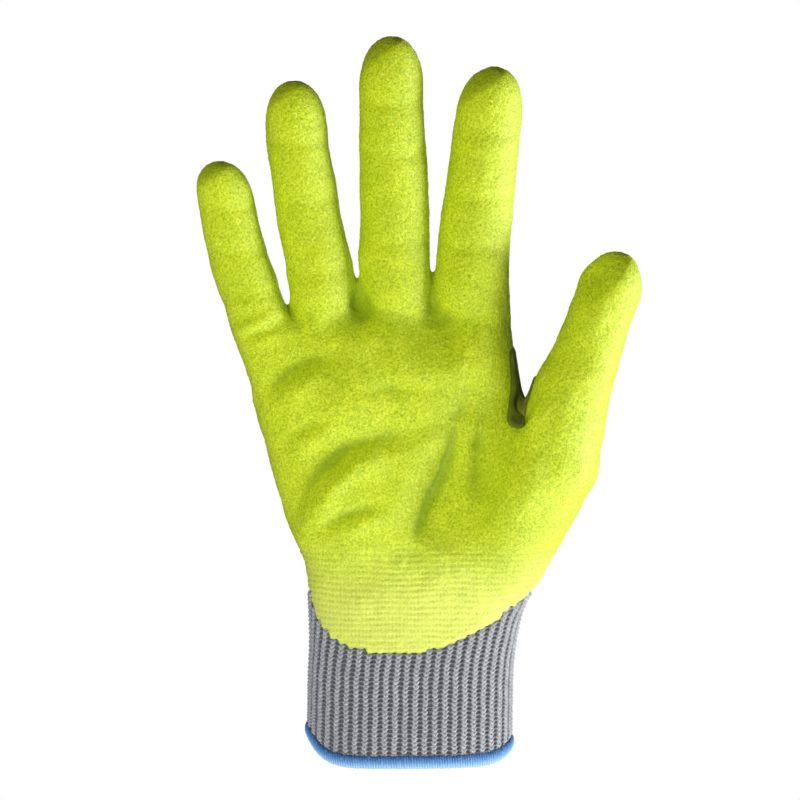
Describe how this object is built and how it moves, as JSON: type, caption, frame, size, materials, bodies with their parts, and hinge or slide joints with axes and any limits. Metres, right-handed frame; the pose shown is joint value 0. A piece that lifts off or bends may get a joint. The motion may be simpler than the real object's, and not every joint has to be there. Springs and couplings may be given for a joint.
{
  "type": "cut resistant glove",
  "caption": "Right-hand seamless knitted work glove with a dipped palm coating, thumb crotch patch, ribbed cuff and overlocked hem; fingers, thumb and wrist bend.",
  "frame": {"origin": "centre of the hand opening, in the plane of the hem's lower edge", "axes": "+Z to the fingertips, -Y the way the palm faces, +X the thumb side"},
  "size_m": [0.1508, 0.0429, 0.2495],
  "materials": {
    "liner_knit": "fine knit",
    "rib_knit": "ribbed knit",
    "palm_coating": "sandy matt foam",
    "crotch_patch": "smooth matt",
    "hem_thread": "overlock thread",
    "elastic": "matt yarn"
  },
  "bodies": {
    "cuff": {"hem_overlock": "hem_thread", "hem_elastic": "elastic", "cuff_rib": "rib_knit", "cuff_elastic_yarn": "elastic", "wrist_liner_fold": "liner_knit", "wrist_coating_fold": "palm_coating"},
    "palm": {"palm_liner": "liner_knit", "palm_coating": "palm_coating", "thumb_web_fold": "palm_coating", "thumb_crotch_patch": "crotch_patch", "little_root_fold": "palm_coating", "ring_root_fold": "palm_coating", "middle_root_fold": "palm_coating", "index_root_fold": "palm_coating"},
    "thumb_base": {"thumb_base_liner": "liner_knit", "thumb_base_coating": "palm_coating", "thumb_joint_fold": "palm_coating"},
    "thumb_tip": {"thumb_tip_liner": "liner_knit", "thumb_tip_coating": "palm_coating"},
    "little_proximal": {"little_proximal_liner": "liner_knit", "little_proximal_coating": "palm_coating", "little_knuckle_fold": "palm_coating"},
    "little_middle": {"little_middle_liner": "liner_knit", "little_middle_coating": "palm_coating", "little_tip_fold": "palm_coating"},
    "little_tip": {"little_tip_liner": "liner_knit", "little_tip_coating": "palm_coating"},
    "ring_proximal": {"ring_proximal_liner": "liner_knit", "ring_proximal_coating": "palm_coating", "ring_knuckle_fold": "palm_coating"},
    "ring_middle": {"ring_middle_liner": "liner_knit", "ring_middle_coating": "palm_coating", "ring_tip_fold": "palm_coating"},
    "ring_tip": {"ring_tip_liner": "liner_knit", "ring_tip_coating": "palm_coating"},
    "middle_proximal": {"middle_proximal_liner": "liner_knit", "middle_proximal_coating": "palm_coating", "middle_knuckle_fold": "palm_coating"},
    "middle_middle": {"middle_middle_liner": "liner_knit", "middle_middle_coating": "palm_coating", "middle_tip_fold": "palm_coating"},
    "middle_tip": {"middle_tip_liner": "liner_knit", "middle_tip_coating": "palm_coating"},
    "index_proximal": {"index_proximal_liner": "liner_knit", "index_proximal_coating": "palm_coating", "index_knuckle_fold": "palm_coating"},
    "index_middle": {"index_middle_liner": "liner_knit", "index_middle_coating": "palm_coating", "index_tip_fold": "palm_coating"},
    "index_tip": {"index_tip_liner": "liner_knit", "index_tip_coating": "palm_coating"}
  },
  "joints": [
    {"name": "wrist_flex", "type": "hinge", "parent": "cuff", "child": "palm", "pos_m": [0, 0, 0.051], "axis": [1, 0, 0], "range_deg": [-50, 60], "stiffness_Nm_per_rad": 0.3, "deforming": ["wrist_liner_fold", "wrist_coating_fold"]},
    {"name": "thumb_swing", "type": "hinge", "parent": "palm", "child": "thumb_base", "pos_m": [0.04973, -0.0105, 0.10049], "axis": [0.1253, 0, -0.9921], "range_deg": [-10, 40], "stiffness_Nm_per_rad": 0.05, "deforming": ["thumb_web_fold", "thumb_crotch_patch"]},
    {"name": "thumb_flex", "type": "hinge", "parent": "thumb_base", "child": "thumb_tip", "pos_m": [0.062, -0.0166, 0.1465], "axis": [0.9304, 0, -0.3665], "range_deg": [-10, 70], "stiffness_Nm_per_rad": 0.02, "deforming": ["thumb_joint_fold"]},
    {"name": "little_root_flex", "type": "hinge", "parent": "palm", "child": "little_proximal", "pos_m": [-0.05469, -0.00608, 0.16312], "axis": [1, 0, 0], "range_deg": [-15, 70], "stiffness_Nm_per_rad": 0.02, "deforming": ["little_root_fold"]},
    {"name": "little_middle_flex", "type": "hinge", "parent": "little_proximal", "child": "little_middle", "pos_m": [-0.0592, -0.00592, 0.1764], "axis": [1, 0, 0], "range_deg": [0, 80], "stiffness_Nm_per_rad": 0.02, "deforming": ["little_knuckle_fold"]},
    {"name": "little_tip_flex", "type": "hinge", "parent": "little_middle", "child": "little_tip", "pos_m": [-0.06236, -0.00686, 0.19067], "axis": [1, 0, 0], "range_deg": [0, 55], "stiffness_Nm_per_rad": 0.01, "deforming": ["little_tip_fold"]},
    {"name": "ring_root_flex", "type": "hinge", "parent": "palm", "child": "ring_proximal", "pos_m": [-0.03146, -0.00506, 0.17414], "axis": [1, 0, 0], "range_deg": [-15, 70], "stiffness_Nm_per_rad": 0.02, "deforming": ["ring_root_fold"]},
    {"name": "ring_middle_flex", "type": "hinge", "parent": "ring_proximal", "child": "ring_middle", "pos_m": [-0.03505, -0.00524, 0.19234], "axis": [1, 0, 0], "range_deg": [0, 80], "stiffness_Nm_per_rad": 0.02, "deforming": ["ring_knuckle_fold"]},
    {"name": "ring_tip_flex", "type": "hinge", "parent": "ring_middle", "child": "ring_tip", "pos_m": [-0.03838, -0.00632, 0.21188], "axis": [1, 0, 0], "range_deg": [0, 55], "stiffness_Nm_per_rad": 0.01, "deforming": ["ring_tip_fold"]},
    {"name": "middle_root_flex", "type": "hinge", "parent": "palm", "child": "middle_proximal", "pos_m": [-0.0051, -0.00473, 0.17869], "axis": [1, 0, 0], "range_deg": [-15, 70], "stiffness_Nm_per_rad": 0.02, "deforming": ["middle_root_fold"]},
    {"name": "middle_middle_flex", "type": "hinge", "parent": "middle_proximal", "child": "middle_middle", "pos_m": [-0.00548, -0.00478, 0.19999], "axis": [1, 0, 0], "range_deg": [0, 80], "stiffness_Nm_per_rad": 0.02, "deforming": ["middle_knuckle_fold"]},
    {"name": "middle_tip_flex", "type": "hinge", "parent": "middle_middle", "child": "middle_tip", "pos_m": [-0.00638, -0.00579, 0.22287], "axis": [1, 0, 0], "range_deg": [0, 55], "stiffness_Nm_per_rad": 0.01, "deforming": ["middle_tip_fold"]},
    {"name": "index_root_flex", "type": "hinge", "parent": "palm", "child": "index_proximal", "pos_m": [0.02192, -0.00608, 0.17764], "axis": [1, 0, 0], "range_deg": [-15, 70], "stiffness_Nm_per_rad": 0.02, "deforming": ["index_root_fold"]},
    {"name": "index_middle_flex", "type": "hinge", "parent": "index_proximal", "child": "index_middle", "pos_m": [0.02373, -0.00604, 0.19611], "axis": [1, 0, 0], "range_deg": [0, 80], "stiffness_Nm_per_rad": 0.02, "deforming": ["index_knuckle_fold"]},
    {"name": "index_tip_flex", "type": "hinge", "parent": "index_middle", "child": "index_tip", "pos_m": [0.02592, -0.00703, 0.21594], "axis": [1, 0, 0], "range_deg": [0, 55], "stiffness_Nm_per_rad": 0.01, "deforming": ["index_tip_fold"]}
  ],
  "couplings": [
    {"joint": "little_tip_flex", "follows": "little_middle_flex", "ratio": 0.66},
    {"joint": "ring_tip_flex", "follows": "ring_middle_flex", "ratio": 0.66},
    {"joint": "middle_tip_flex", "follows": "middle_middle_flex", "ratio": 0.66},
    {"joint": "index_tip_flex", "follows": "index_middle_flex", "ratio": 0.66}
  ]
}
